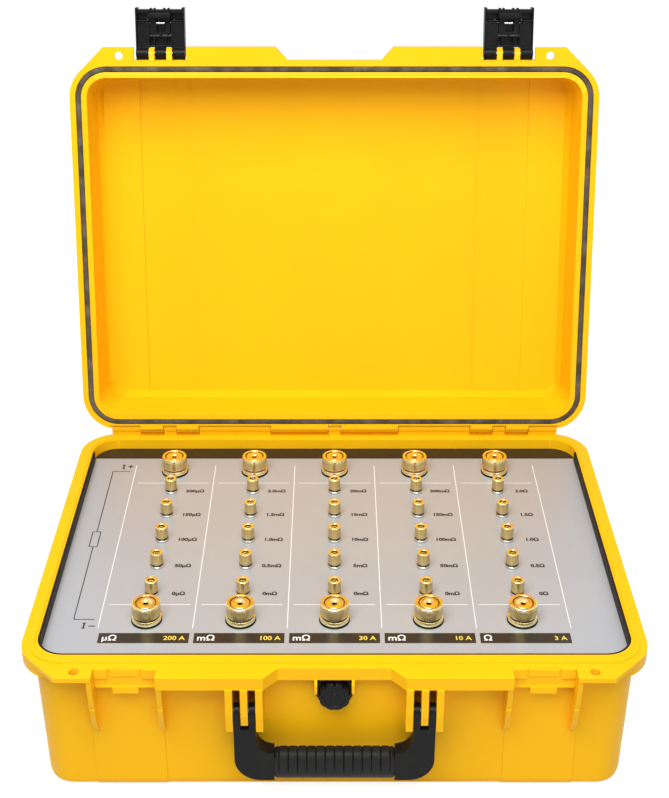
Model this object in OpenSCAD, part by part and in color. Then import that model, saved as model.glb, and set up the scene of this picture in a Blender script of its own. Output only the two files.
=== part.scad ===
// Micro-ohmmeter calibrator: a row of tapped reference resistors in a hinged plastic carrying case.
// Origin: centre of the underside of the case. +X right, +Y towards the hinge, +Z up. Lid shown open.

/* [Case] */
// Outer width of the rim
case_w = 486; // [400:1:600]
// Outer depth of the rim, without the front flanges
case_d = 356; // [300:1:420]
// Height of the base, floor to rim
base_h = 128; // [100:1:160]
// Height of the closed lid above the rim
lid_h = 57; // [45:1:80]
// Corner radius of the rim
corner_r = 34; // [28:1:44]
// Wall thickness of the mouldings
wall = 3.5; // [2.5:0.1:4.5]
// How far the side walls stand in from the rim
wall_inset = 8.2; // [7.5:0.1:9]
// How much narrower each side is at the floor
draft = 4; // [2:0.5:6]
// Radius of the floor and lid edges
edge_r = 9; // [6:0.5:12]
// Height of the rim band
rim_h = 11; // [9:0.5:14]
// How far the front flanges stand out
flange_out = 12; // [9:0.5:15]
// Height of the raised bands on the lid
band_rise = 1.5; // [1:0.1:2]
// Width of the raised bands
band_w = 56; // [40:1:66]
// Height of the bands on the base walls
wall_band = 0.8; // [0.4:0.1:1.5]
// Distance of the bands from the middle
band_x = 161; // [150:1:166]

/* [Hinge] */
// Height of the hinge axis over the rim
hinge_rise = 7.5; // [7:0.1:9]
// Radius of the hinge knuckles
knuckle_r = 4.8; // [4.2:0.1:5.2]
// Radius of the hinge pins
hinge_pin_r = 1.5; // [1:0.1:2]
// Angle of the open lid from closed
open_angle = 99.6; // [90:0.1:110]

/* [Seal] */
// Distance of the seal from the rim edge
seal_inset = 5.2; // [5:0.1:6]
// Width of the seal
seal_w = 5.4; // [4:0.1:6]
// Thickness of the seal
seal_t = 1.6; // [1:0.1:2]
// Height of the sealing ridge on the base
ridge_h = 1; // [0.5:0.1:1.4]

/* [Latches] */
// Distance of each latch from the middle
latch_x = 159; // [150:1:165]
// Width of a latch
latch_w = 45; // [38:1:48]
// Length of a latch from its pin
latch_len = 41; // [38:0.5:44]
// Thickness of a latch
latch_t = 11; // [9:0.5:13]
// Radius of the latch pins
latch_pin_r = 1.5; // [1:0.1:2]
// Swing of a latch from open to closed
latch_swing = 90; // [80:1:95]

/* [Handle] */
// Width of the handle over its forks
handle_w = 154; // [140:1:170]
// Drop of the grip centre below the handle pins
handle_drop = 50; // [44:1:56]
// Height of the grip
grip_h = 26; // [22:1:30]
// Thickness of the grip
grip_t = 17; // [14:1:19]
// Length of the grip
grip_len = 93; // [80:1:100]
// Number of ribs along the grip
grip_ribs = 12; // [8:1:16]

/* [Panel] */
// Thickness of the panel
panel_t = 2.5; // [2:0.1:4]
// Thickness of the printed overlay
overlay_t = 0.4; // [0.2:0.1:0.8]
// Depth of the panel face below the rim
panel_drop = 9.7; // [8:0.1:12]
// Gap around the panel
panel_gap = 0.5; // [0.3:0.1:1]
// Distance from the middle of the rim to the post rows' middle
rows_y = 8.8; // [6:0.1:10]
// Distance between resistor columns
column_pitch = 75.5; // [70:0.5:78]
// Distance between tap posts in a column
tap_pitch = 39.6; // [36:0.1:40]
// Distance from the last tap post to the current post
end_pitch = 35; // [32:0.1:36]
// Number of resistor columns
columns = 5; // [5:1:5]
// Number of tap posts in a column
taps = 5; // [5:1:5]

/* [Posts] */
// Radius of a current post cap
big_r = 11.5; // [10:0.1:12.5]
// Height of a current post cap
big_cap_h = 11; // [9:0.1:13]
// Height of a current post flange
big_flange_h = 4.2; // [3:0.1:5]
// Radius of a tap post cap
tap_r = 5.4; // [4.6:0.1:6]
// Height of a tap post cap
tap_cap_h = 10.7; // [8:0.1:12]
// Radius of the plug socket in every post
socket_r = 2; // [1.8:0.1:2.2]
// Depth of the plug socket
socket_depth = 13; // [10:0.5:16]
// How far a cap unscrews
cap_lift = 4; // [2:0.5:5]

/* [Hidden] */

// One overrun for every cut
over = 1;
// Small steps and bevels at edges
step = 1;
// Running clearance of pins in their bores
pin_gap = 0.05;
// Gap between the closed lid and the base
closing_gap = 0.3;
// Side gap of a moving piece between its neighbours
side_gap = 0.6;
// Thickness of a thin slice in a hulled shell
slice = 0.2;
edge_fn = 32;
round_fn = 96;

rim_z = base_h;
face_z = rim_z - panel_drop;
hinge_y = case_d / 2;
hinge_z = rim_z + hinge_rise;
lid_low = rim_z + closing_gap;
yellow = "#f7c600";
black = "#1b1b1c";
gold = "#d9a93a";

// Rim opening of the base
side_lip = 11.7;
front_lip = 16.4;
open_w = case_w - 2 * side_lip;
open_d = case_d - side_lip - front_lip;
open_y = (front_lip - side_lip) / 2;
open_r = corner_r - side_lip;

// Front flanges, given from the middle outwards
flange_in = 43;
flange_start = 54;
recess_gap = 1.5;
recess_in = latch_x - latch_w / 2 - recess_gap;
recess_out = latch_x + latch_w / 2 + recess_gap;
tab_t = 4;
corner_reach = corner_r * sqrt(1 / 2);
tab_out = case_w / 2 - 2 * corner_r + 2 * corner_reach - flange_out;

// A rectangle with round corners made of true arcs
module round_rect(w, d, r) {
    square([w - 2 * r, d], center = true);
    square([w, d - 2 * r], center = true);
    for (x = [-1, 1], y = [-1, 1])
        translate([x * (w / 2 - r), y * (d / 2 - r)]) circle(r, $fn = round_fn);
}

module plate(w, d, r, h) {
    linear_extrude(h) round_rect(w, d, r);
}

module inset_plate(inset, h) {
    plate(case_w - 2 * inset, case_d - 2 * inset, corner_r - inset, h);
}

module rim_ring(inset, w, h) {
    difference() {
        inset_plate(inset, h);
        translate([0, 0, -over]) inset_plate(inset + w, h + 2 * over);
    }
}

// Outline of the rim with its two front flanges
module rim_outline() {
    round_rect(case_w, case_d, corner_r);
    front = -case_d / 2;
    for (s = [-1, 1]) scale([s, 1])
        polygon([[flange_in, front + over], [flange_in, front], [flange_start, front - flange_out],
            [recess_in, front - flange_out], [recess_in, front + over]]);
}

// Corner tabs, each running off the round corner at its tangent
module tab_outline() {
    front = -case_d / 2;
    for (s = [-1, 1]) scale([s, 1])
        polygon([[recess_out, front + corner_r], [recess_out, front - flange_out], [tab_out, front - flange_out],
            [case_w / 2 - corner_r + corner_reach, front + corner_r - corner_reach],
            [case_w / 2 - corner_r, front + corner_r]]);
}

// The two padlock holes
hasp_x = 196.7;
hasp_r = 3.8;
hasp_out = 4.2;
hasp_y = -case_d / 2 - hasp_out;
module hasp_holes(z, h) {
    for (s = [-1, 1]) translate([s * hasp_x, hasp_y, z - over]) cylinder(r = hasp_r, h = h + 2 * over, $fn = round_fn);
}

// Tapered tub from its mouth at z = 0 up to its floor at z = h, edges rounded
module tub(inset, h, round) {
    steps = 3;
    hull() {
        inset_plate(inset, slice);
        for (i = [0:steps]) {
            a = 90 * i / steps;
            rise = round * sin(a);
            pull = draft + round * (1 - cos(a));
            translate([0, 0, h - round + rise - slice]) inset_plate(inset + pull, slice);
        }
    }
}

module band_zone(grow, h) {
    for (s = [-1, 1]) translate([s * band_x - band_w / 2 - grow, -case_d, -over])
        cube([band_w + 2 * grow, 2 * case_d, h + 2 * over]);
}

// A tub with raised bands over its walls and floor
module banded_tub(inset, h, round, rise, floor_rise) {
    intersection() {
        tub(inset, h, round);
        band_zone(0, h);
    }
    tub(inset + rise, h - floor_rise, round);
}

// Hinge: base knuckles and lid knuckles by their low and high X
knuckle_shares = [0.0247, 0.2551, 0.5432, 0.6337, 0.6852, 0.7778, 0.893];
function knuckle_x(i) = knuckle_shares[i] * case_w / 2;
function both_sides(i) = [[knuckle_x(i), knuckle_x(i + 1)], [-knuckle_x(i + 1), -knuckle_x(i)]];
base_knuckles = concat([[-knuckle_x(0), knuckle_x(0)]], both_sides(1), both_sides(3), both_sides(5));
lid_knuckles = concat(both_sides(0), both_sides(2), both_sides(4));
arm_front = 3.4;
arm_depth = 9;
notch_gap = 0.6;

module along_x(x0, x1) {
    translate([x0, 0, 0]) rotate([90, 0, 90]) linear_extrude(x1 - x0) children();
}

module x_rod(x0, x1, y, z, r) {
    translate([x0, y, z]) rotate([0, 90, 0]) cylinder(r = r, h = x1 - x0, $fn = round_fn);
}

module hinge_bore(r) {
    for (s = [-1, 1]) x_rod(s > 0 ? -over : -case_w / 2, s > 0 ? case_w / 2 : over, hinge_y, hinge_z, r);
}

module base_knuckle(k) {
    x_rod(k[0] + side_gap / 2, k[1] - side_gap / 2, hinge_y, hinge_z, knuckle_r);
    along_x(k[0] + side_gap / 2, k[1] - side_gap / 2)
        translate([hinge_y - arm_front, rim_z - arm_depth])
            square([arm_front + knuckle_r, arm_depth + hinge_rise]);
}

module lid_knuckle(k) {
    x_rod(k[0] + side_gap / 2, k[1] - side_gap / 2, hinge_y, hinge_z, knuckle_r);
    along_x(k[0] + side_gap / 2, k[1] - side_gap / 2)
        translate([hinge_y - 2 * knuckle_r, hinge_z - knuckle_r])
            square([2 * knuckle_r, 2 * knuckle_r]);
}

// Gusset ribs that carry the rim at the latch recesses
rib_t = 4;
rib_drop = 60;
rib_reach = wall_inset + flange_out;
rib_belly_share = 0.7;
module front_rib(x, reach, drop, top) {
    wall_y = -case_d / 2 + wall_inset;
    along_x(x - rib_t / 2, x + rib_t / 2)
        polygon([[wall_y + over, rim_z - top + over], [wall_y - reach, rim_z - top + over],
            [wall_y - reach, rim_z - rim_h], [wall_y - reach / 2, rim_z - rim_h - drop * rib_belly_share],
            [wall_y + draft, rim_z - rim_h - drop], [wall_y + draft + over, rim_z - rim_h]]);
}

// Handle brackets: three fins at each end
arm_w = 16.75;
prong_t = 5;
fork_in = handle_w / 2 - arm_w;
fin_pitch = 11.5;
fin_first = fork_in + prong_t / 2 - fin_pitch / 2;
fin_t = 5.5;
fin_r = 7;
handle_pin_out = 7;
handle_pin_drop = 34;
handle_y = -case_d / 2 - handle_pin_out;
handle_z = rim_z - handle_pin_drop;
handle_pin_r = 2;
fin_tail = 11;
fin_tail_outer = 17;
fin_nose_share = 0.8;
module handle_fin(x, tail) {
    wall_y = -case_d / 2 + wall_inset;
    x_rod(x - fin_t / 2, x + fin_t / 2, handle_y, handle_z, fin_r);
    along_x(x - fin_t / 2, x + fin_t / 2)
        polygon([[wall_y + draft + over, handle_z - tail - fin_r], [wall_y + draft + over, rim_z - rim_h + over],
            [handle_y - fin_r, rim_z - rim_h + over], [handle_y - fin_r, handle_z],
            [handle_y - fin_r * fin_nose_share, handle_z - tail + step], [handle_y - fin_r / 2, handle_z - tail]]);
}

// Keeper bars that the latches hook under
keeper_w = 20;
keeper_h = 4.5;
keeper_out = 1.5;
recess_h = 18;
keeper_low = rim_z - recess_h - keeper_h;
module keeper(s) {
    translate([s * latch_x - keeper_w / 2, -case_d / 2 - keeper_out, keeper_low])
        cube([keeper_w, wall_inset + keeper_out + draft + over, keeper_h + over]);
    translate([s * latch_x - (recess_out - recess_in) / 2 - over, -case_d / 2, rim_z - recess_h])
        cube([recess_out - recess_in + 2 * over, wall_inset + draft + over, recess_h - over]);
}

// Cradle of the base behind the lid's hinge knuckles
cradle_gap = 0.4;
module hinge_cradle(k) {
    low = rim_z - rim_h;
    translate([k[0] - over, hinge_y - over, low])
        cube([k[1] - k[0] + 2 * over, knuckle_r + over, rim_h - closing_gap]);
    translate([k[0] - over, hinge_y + cradle_gap, low])
        cube([k[1] - k[0] + 2 * over, knuckle_r - cradle_gap, hinge_z - knuckle_r - notch_gap - low]);
}

// Ledge that the panel frame rests on
frame_h = 8;
ledge_z = face_z - overlay_t - panel_t - frame_h;
ledge_w = 5;

// Pressure valve in the front wall
valve_drop = 26;
valve_z = rim_z - valve_drop;
valve_r = 15;
valve_bore_r = 5;
knob_r = 12.5;
knob_t = 9;

module base_shell() color(yellow) {
    difference() {
        union() {
            translate([0, 0, rim_z - slice]) mirror([0, 0, 1]) banded_tub(wall_inset, base_h - slice, edge_r, wall_band, 0);
            translate([0, 0, rim_z - rim_h]) linear_extrude(rim_h) rim_outline();
            translate([0, 0, rim_z - tab_t]) linear_extrude(tab_t) tab_outline();
            translate([0, 0, rim_z - over]) rim_ring(seal_inset + side_gap, seal_w - 2 * side_gap, ridge_h + over);
            for (k = base_knuckles) base_knuckle(k);
            for (k = lid_knuckles) hinge_cradle(k);
            for (s = [-1, 1]) {
                front_rib(s * (recess_in - rib_t / 2), rib_reach - step, rib_drop, rim_h);
                front_rib(s * (recess_out + rib_t / 2), rib_reach - step, rib_drop, tab_t);
                for (i = [0:2]) handle_fin(s * (fin_first + i * fin_pitch), i == 1 ? fin_tail : fin_tail_outer);
                keeper(s);
            }
        }
        base_cavity();
        hinge_bore(hinge_pin_r + pin_gap);
        hasp_holes(rim_z - rim_h, rim_h);
        x_rod(-case_w / 2, case_w / 2, handle_y, handle_z, handle_pin_r + pin_gap);
        translate([0, -case_d / 2 + wall_inset + case_d / 8, valve_z]) rotate([90, 0, 0])
            cylinder(r = valve_bore_r, h = case_d / 4, $fn = round_fn);
    }
}

module base_cavity() {
    floor_t = wall;
    translate([0, open_y, ledge_z]) plate(open_w, open_d, open_r, base_h);
    inner = wall_inset + wall + band_rise;
    hull() {
        translate([0, open_y, ledge_z]) plate(open_w - 2 * ledge_w, open_d - 2 * ledge_w, open_r - ledge_w, over, $fn = edge_fn);
        translate([0, 0, floor_t + band_rise + edge_r]) inset_plate(inner + draft, slice, $fn = edge_fn);
        translate([0, 0, floor_t + band_rise]) inset_plate(inner + draft + edge_r / 2, slice, $fn = edge_fn);
    }
}

// Lid, modelled closed and turned open about the hinge
module lid_pose() {
    translate([0, hinge_y, hinge_z]) rotate([-open_angle, 0, 0]) translate([0, -hinge_y, -hinge_z]) children();
}

lip_w = 5;
lip_in = seal_inset + seal_w + lip_w;
lid_inner = 3;
seal_play = 0.3;
seal_groove = ridge_h + seal_t + seal_play;
pivot_out = 6;
pivot_rise = 9;
latch_pivot_y = -case_d / 2 - pivot_out;
latch_pivot_z = rim_z + pivot_rise;
ear_r = 5;
ear_t = 5;
ear_x = 8;

module lid_shell() color(yellow) lid_pose() {
    difference() {
        union() {
            translate([0, 0, lid_low]) banded_tub(wall_inset, lid_h - closing_gap, edge_r, band_rise, band_rise);
            translate([0, 0, lid_low]) linear_extrude(rim_h) rim_outline();
            translate([0, 0, lid_low]) linear_extrude(tab_t) tab_outline();
            for (k = lid_knuckles) lid_knuckle(k);
            for (s = [-1, 1], e = [-1, 1]) lid_ear(s * latch_x + e * ear_x);
        }
        lid_cavity();
        translate([0, 0, lid_low - over]) rim_ring(seal_inset, seal_w, seal_groove + over);
        for (k = base_knuckles) lid_notch(k);
        hinge_bore(hinge_pin_r + pin_gap);
        hasp_holes(lid_low, rim_h);
        for (s = [-1, 1]) x_rod(s * latch_x - latch_w, s * latch_x + latch_w, latch_pivot_y, latch_pivot_z, latch_pin_r + pin_gap);
    }
}

module lid_notch(k) {
    along_x(k[0] - side_gap / 2, k[1] + side_gap / 2)
        translate([hinge_y - arm_front - notch_gap, lid_low - over])
            square([3 * knuckle_r, 2 * rim_h]);
    x_rod(k[0] - side_gap / 2, k[1] + side_gap / 2, hinge_y, hinge_z, knuckle_r + notch_gap);
}

module lid_ear(x) {
    x_rod(x - ear_t / 2, x + ear_t / 2, latch_pivot_y, latch_pivot_z, ear_r);
    along_x(x - ear_t / 2, x + ear_t / 2)
        translate([latch_pivot_y, latch_pivot_z - ear_r])
            square([-case_d / 2 + over - latch_pivot_y, 2 * ear_r]);
}

module lid_cavity() {
    deep = lid_h - closing_gap - wall - band_rise;
    translate([0, 0, lid_low - over]) inset_plate(lip_in, 2 * over);
    translate([0, 0, lid_low]) {
        hull() {
            inset_plate(lip_in, slice, $fn = edge_fn);
            translate([0, 0, deep - edge_r]) inset_plate(lip_in + lid_inner, slice, $fn = edge_fn);
            translate([0, 0, deep - slice]) inset_plate(lip_in + lid_inner + edge_r / 2, slice, $fn = edge_fn);
        }
        intersection() {
            translate([0, 0, deep - over]) inset_plate(lip_in + lid_inner + edge_r / 2, over + band_rise);
            band_zone(-wall, lid_h);
        }
    }
}

module lid_seal() color("#3a352f") lid_pose() {
    translate([0, 0, lid_low + seal_groove - seal_t]) rim_ring(seal_inset, seal_w, seal_t);
}

module hinge_pins() color("silver") {
    x0 = side_gap;
    x1 = knuckle_x(6) - side_gap;
    for (s = [-1, 1]) x_rod(s > 0 ? x0 : -x1, s > 0 ? x1 : -x0, hinge_y, hinge_z, hinge_pin_r);
}

// Handle, hanging from its pins
prong_r = 6;
bend_r = 20;
window_r = 14;

// The handle seen from the front, without its fork prongs
module handle_outline() {
    low = handle_z - handle_drop - grip_h / 2;
    top = handle_z - 2 * fin_r;
    difference() {
        intersection() {
            translate([0, top]) round_rect(handle_w, 2 * (top - low), bend_r);
            translate([-handle_w / 2, low]) square([handle_w, top - low]);
        }
        translate([0, top + grip_h / 2]) round_rect(2 * fork_in, 2 * (top - low) - grip_h, window_r);
        translate([-grip_len / 2, low - step]) square([grip_len, grip_h + 2 * step]);
    }
}

module handle_frame() color(black) {
    mid = handle_z - handle_drop;
    difference() {
        union() {
            for (s = [-1, 1], i = [0:1]) {
                x = s * (fin_first + (i + 1 / 2) * fin_pitch);
                x_rod(x - prong_t / 2, x + prong_t / 2, handle_y, handle_z, prong_r);
                along_x(x - prong_t / 2, x + prong_t / 2)
                    translate([handle_y - prong_r, handle_z - 3 * fin_r]) square([2 * prong_r, 3 * fin_r]);
            }
            translate([0, handle_y + prong_r, 0]) rotate([90, 0, 0]) linear_extrude(2 * prong_r) handle_outline();
            x_rod(-fork_in, fork_in, handle_y, mid, prong_r);
        }
        x_rod(-case_w / 2, case_w / 2, handle_y, handle_z, handle_pin_r + pin_gap);
    }
}

// Ribbed grip moulded over the bar
rib_h = 1;
module grip_outline(grow) {
    round_rect(grip_t + 2 * grow, grip_h + 2 * grow, grip_t / 2 + grow - step);
}

module handle_grip() color("#232324") {
    mid = handle_z - handle_drop;
    half = grip_len / 2;
    pitch = 2 * half / (grip_ribs + 1);
    difference() {
        union() {
            along_x(-half, half) translate([handle_y, mid]) grip_outline(-rib_h);
            for (i = [1:grip_ribs]) {
                x = -half + i * pitch;
                along_x(x - pitch / 4, x + pitch / 4) translate([handle_y, mid]) grip_outline(0);
            }
        }
        x_rod(-handle_w, handle_w, handle_y, mid, prong_r);
    }
}

module handle_pins() color("silver") {
    x0 = fin_first - fin_t / 2 + step / 2;
    x1 = fin_first + 2 * fin_pitch + fin_t / 2 - step / 2;
    for (s = [-1, 1]) x_rod(s > 0 ? x0 : -x1, s > 0 ? x1 : -x0, handle_y, handle_z, handle_pin_r);
}

// Valve: body through the wall, knob in front
valve_face = -case_d / 2 + wall_inset + wall_band + draft * (valve_drop - valve_r) / (base_h - edge_r);
collar_t = 3;
module y_disc(y0, y1, z, r) {
    translate([0, y1, z]) rotate([90, 0, 0]) cylinder(r = r, h = y1 - y0, $fn = round_fn);
}

module valve_body() color(black) {
    inside = valve_face + 2 * wall + draft;
    y_disc(valve_face - collar_t, valve_face, valve_z, valve_r);
    y_disc(valve_face - step, inside + 4 * step, valve_z, valve_bore_r - side_gap / 4);
}

notches = 10;
module valve_knob() color("#161617") {
    front = valve_face - collar_t;
    difference() {
        union() {
            y_disc(front - knob_t, front, valve_z, knob_r - step);
            for (i = [0:notches - 1]) translate([0, 0, valve_z]) rotate([0, 360 / notches * i, 0])
                translate([-step * 2, front - knob_t, 0]) cube([step * 4, knob_t, knob_r]);
        }
        y_disc(front - knob_t - over, front - knob_t / 2, valve_z, knob_r / 2);
    }
    y_disc(front - knob_t, front - step, valve_z, knob_r / 3);
}

// Latches, modelled closed, then turned open about their pins and carried by the lid
plate_t = 3.5;
side_t = 3;
hook_t = 4;
hook_reach = 3;
button_w = 24;
button_u0 = 9;
button_short = 1.5;
button_u1 = latch_len - button_short;
button_pin_u = 27;
hook_gap = 0.6;
hook_u = latch_pivot_z - keeper_low + hook_gap;
lever_in = 1.5;
boss_r = 4.5;

module latch_pose() {
    lid_pose() translate([0, latch_pivot_y, latch_pivot_z]) rotate([-latch_swing, 0, 0])
        translate([0, -latch_pivot_y, -latch_pivot_z]) children();
}

// Box in latch terms: x from the latch's middle, u down from the pin, v outwards from the pin
module latch_box(x0, x1, u0, u1, v0, v1) {
    translate([x0, latch_pivot_y - v1, latch_pivot_z - u1]) cube([x1 - x0, v1 - v0, u1 - u0]);
}

module latch_lever(s) {
    half = latch_w / 2;
    out = latch_t - lever_in;
    ear_in = ear_x - ear_t / 2 - side_gap;
    ear_out = ear_x + ear_t / 2 + side_gap;
    color(black) latch_pose() translate([s * latch_x, 0, 0]) difference() {
        union() {
            // side cheeks
            for (m = [0, 1]) mirror([m, 0, 0]) {
                latch_box(half - side_t, half, 0, latch_len, -lever_in, out);
                latch_box(button_w / 2 + side_gap, half - side_t / 2, button_u0, latch_len - button_short, out - plate_t, out);
                latch_box(button_w / 2 + side_gap, button_w / 2 + side_gap + side_t, button_u0, latch_len - button_short, -lever_in, out);
                x_rod(ear_out, half, latch_pivot_y, latch_pivot_z, boss_r);
                latch_box(ear_out, half, 0, button_u0, 0, boss_r);
            }
            x_rod(-ear_in, ear_in, latch_pivot_y, latch_pivot_z, boss_r);
            latch_box(-ear_in, ear_in, 0, button_u0, 0, boss_r);
            // top plate over the ears
            latch_box(-half, half, boss_r + step, button_u0 + step, out - plate_t, out);
            latch_box(-half, half, boss_r + side_gap + step, button_u0 + step, 0, out);
        }
        x_rod(-latch_w, latch_w, latch_pivot_y, latch_pivot_z, latch_pin_r + pin_gap);
        x_rod(-latch_w, latch_w, latch_pivot_y - out / 2, latch_pivot_z - button_pin_u, latch_pin_r + pin_gap);
    }
}

module latch_button(s) {
    out = latch_t - lever_in;
    half = button_w / 2;
    color("#262627") latch_pose() translate([s * latch_x, 0, 0]) difference() {
        union() {
            latch_box(-half, half, button_u0 + 2 * step, button_u1, out - plate_t, out - step / 2);
            x_rod(-half, half, latch_pivot_y - out / 2, latch_pivot_z - button_pin_u, boss_r - step / 2);
            latch_box(-half + step, half - step, hook_u, hook_u + hook_t, keeper_out - pivot_out - hook_reach, out - step);
            for (m = [-1, 0, 1])
                latch_box(m * half / 2 - step, m * half / 2 + step, button_pin_u, hook_u + step, step, out - step);
        }
        x_rod(-latch_w, latch_w, latch_pivot_y - out / 2, latch_pivot_z - button_pin_u, latch_pin_r + pin_gap);
    }
}

module button_pin(s) color("silver") latch_pose() translate([s * latch_x, 0, 0]) {
    out = latch_t - lever_in;
    half = latch_w / 2 - step / 2;
    x_rod(-half, half, latch_pivot_y - out / 2, latch_pivot_z - button_pin_u, latch_pin_r);
}

module latch_pivot_pins() color("silver") lid_pose() {
    half = latch_w / 2 - step / 2;
    for (s = [-1, 1]) x_rod(s * latch_x - half, s * latch_x + half, latch_pivot_y, latch_pivot_z, latch_pin_r);
}

// Panel
panel_w = open_w - 2 * panel_gap;
panel_d = open_d - 2 * panel_gap;
panel_r = open_r - panel_gap;
frame_w = 16;
plate_z = face_z - overlay_t - panel_t;
screw_r = 1.5;
screw_head_r = 3;
screw_inset = 9;
screw_len = 7;
screw_places = [for (x = [-1, 0, 1], y = [-1, 1]) [x * (panel_w / 2 - screw_inset), y * (panel_d / 2 - screw_inset)]];

function column_x(c) = (c - (columns - 1) / 2) * column_pitch;
function tap_y(k) = rows_y + ((taps - 1) / 2 - k) * tap_pitch;
end_y = (taps - 1) / 2 * tap_pitch + end_pitch;
function current_y(s) = rows_y + s * end_y;

module at_current_posts() {
    for (c = [0:columns - 1], s = [-1, 1]) translate([column_x(c), current_y(s), 0]) children();
}

module at_tap_posts() {
    for (c = [0:columns - 1], k = [0:taps - 1]) translate([column_x(c), tap_y(k), 0]) children();
}

stud_r = 4;
tap_stud_r = 2.6;
bush_gap = 0.05;
// Wall of the insulating bushes in the panel
bush_t = 1;
module panel_cuts(h) {
    at_current_posts() translate([0, 0, plate_z - over]) cylinder(r = stud_r + bush_t, h = h, $fn = round_fn);
    at_tap_posts() translate([0, 0, plate_z - over]) cylinder(r = tap_stud_r + bush_t, h = h, $fn = round_fn);
}

module panel_frame() color("#141414") {
    difference() {
        translate([0, open_y, ledge_z]) plate(panel_w, panel_d, panel_r, frame_h);
        translate([0, open_y, ledge_z - over]) plate(panel_w - 2 * frame_w, panel_d - 2 * frame_w, panel_r - frame_w / 2, frame_h + 2 * over);
        translate([0, open_y, 0]) for (p = screw_places) translate([p[0], p[1], plate_z - screw_len])
            cylinder(r = screw_r, h = screw_len + over, $fn = round_fn);
    }
}

module panel_plate() color("#b9bcc0") {
    difference() {
        translate([0, open_y, plate_z]) plate(panel_w, panel_d, panel_r, panel_t);
        panel_cuts(panel_t + 2 * over);
        translate([0, open_y, 0]) for (p = screw_places) translate([p[0], p[1], 0]) {
            translate([0, 0, plate_z - over]) cylinder(r = screw_r, h = panel_t + 2 * over, $fn = round_fn);
            translate([0, 0, plate_z + panel_t - screw_r]) cylinder(r = screw_head_r, h = screw_r + over, $fn = round_fn);
        }
    }
}

module panel_overlay() color("#c4c7cb") {
    difference() {
        translate([0, open_y, plate_z + panel_t]) plate(panel_w, panel_d, panel_r, overlay_t);
        panel_cuts(panel_t + overlay_t + 2 * over);
    }
}

module panel_screws() color("silver") {
    translate([0, open_y, 0]) for (p = screw_places) translate([p[0], p[1], 0]) {
        translate([0, 0, plate_z - screw_len]) cylinder(r = screw_r, h = screw_len + panel_t - step, $fn = round_fn);
        translate([0, 0, plate_z + panel_t - screw_r]) cylinder(r = screw_head_r, h = screw_r, $fn = round_fn);
    }
}

// Current posts, from the panel up: washer, flanged stud, coloured ring, cap
washer_t = 1;
ring_t = 1.3;
neck_r = 7;
cap_gap = 0.05;
current_base = face_z + washer_t;
ring_z = current_base + big_flange_h;
cap_z = ring_z + ring_t;
stud_len = 26;

module current_studs() color(gold) {
    at_current_posts() difference() {
        union() {
            translate([0, 0, current_base]) cylinder(r = big_r + step / 2, h = big_flange_h - step, $fn = round_fn);
            translate([0, 0, current_base]) cylinder(r = big_r, h = big_flange_h, $fn = round_fn);
            translate([0, 0, current_base]) cylinder(r = neck_r, h = big_flange_h + ring_t + big_cap_h - 2 * step, $fn = round_fn);
            translate([0, 0, current_base - stud_len]) cylinder(r = stud_r, h = stud_len + step, $fn = round_fn);
        }
        translate([0, 0, cap_z + big_cap_h - socket_depth]) cylinder(r = socket_r, h = socket_depth + over, $fn = round_fn);
    }
}

module ring(z, r_out, r_in, h) {
    translate([0, 0, z]) difference() {
        cylinder(r = r_out, h = h, $fn = round_fn);
        translate([0, 0, -over]) cylinder(r = r_in, h = h + 2 * over, $fn = round_fn);
    }
}

module current_rings(s) {
    for (c = [0:columns - 1]) translate([column_x(c), current_y(s), 0])
        ring(ring_z, big_r - step / 2, neck_r + cap_gap, ring_t);
}

module current_rings_red() color("#8e2a1c") current_rings(1);

module current_rings_black() color(black) current_rings(-1);

// Insulating bushes: a thin flange on the panel and a sleeve through it
module current_bushes() color(black) {
    at_current_posts() {
        ring(face_z, big_r + step, stud_r + bush_gap, washer_t);
        ring(plate_z, stud_r + bush_t, stud_r + bush_gap, panel_t + overlay_t + step / 2);
    }
}

module tap_bushes() color(black) {
    at_tap_posts() ring(plate_z, tap_stud_r + bush_t, tap_stud_r + bush_gap, panel_t + overlay_t);
}

groove_share = 0.7;
groove_r = big_r * groove_share;
module current_cap(c, s) color(gold) translate([column_x(c), current_y(s), 0]) {
    difference() {
        union() {
            translate([0, 0, cap_z]) cylinder(r = big_r - step / 2, h = big_cap_h, $fn = round_fn);
            translate([0, 0, cap_z + step]) cylinder(r = big_r, h = big_cap_h - 2 * step, $fn = round_fn);
        }
        translate([0, 0, cap_z - over]) cylinder(r = neck_r + cap_gap, h = big_cap_h - 2 * step + cap_gap + over, $fn = round_fn);
        translate([0, 0, cap_z]) cylinder(r = socket_r + step, h = big_cap_h + over, $fn = round_fn);
        ring(cap_z + big_cap_h - step, groove_r + step / 2, groove_r - step / 2, step + over);
    }
}

nut_w = 7.5;
nut_h = 5;
module nut(z, r, bore, h) {
    translate([0, 0, z]) difference() {
        cylinder(r = r, h = h, $fn = 6);
        translate([0, 0, -over]) cylinder(r = bore, h = h + 2 * over, $fn = round_fn);
    }
}

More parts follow.
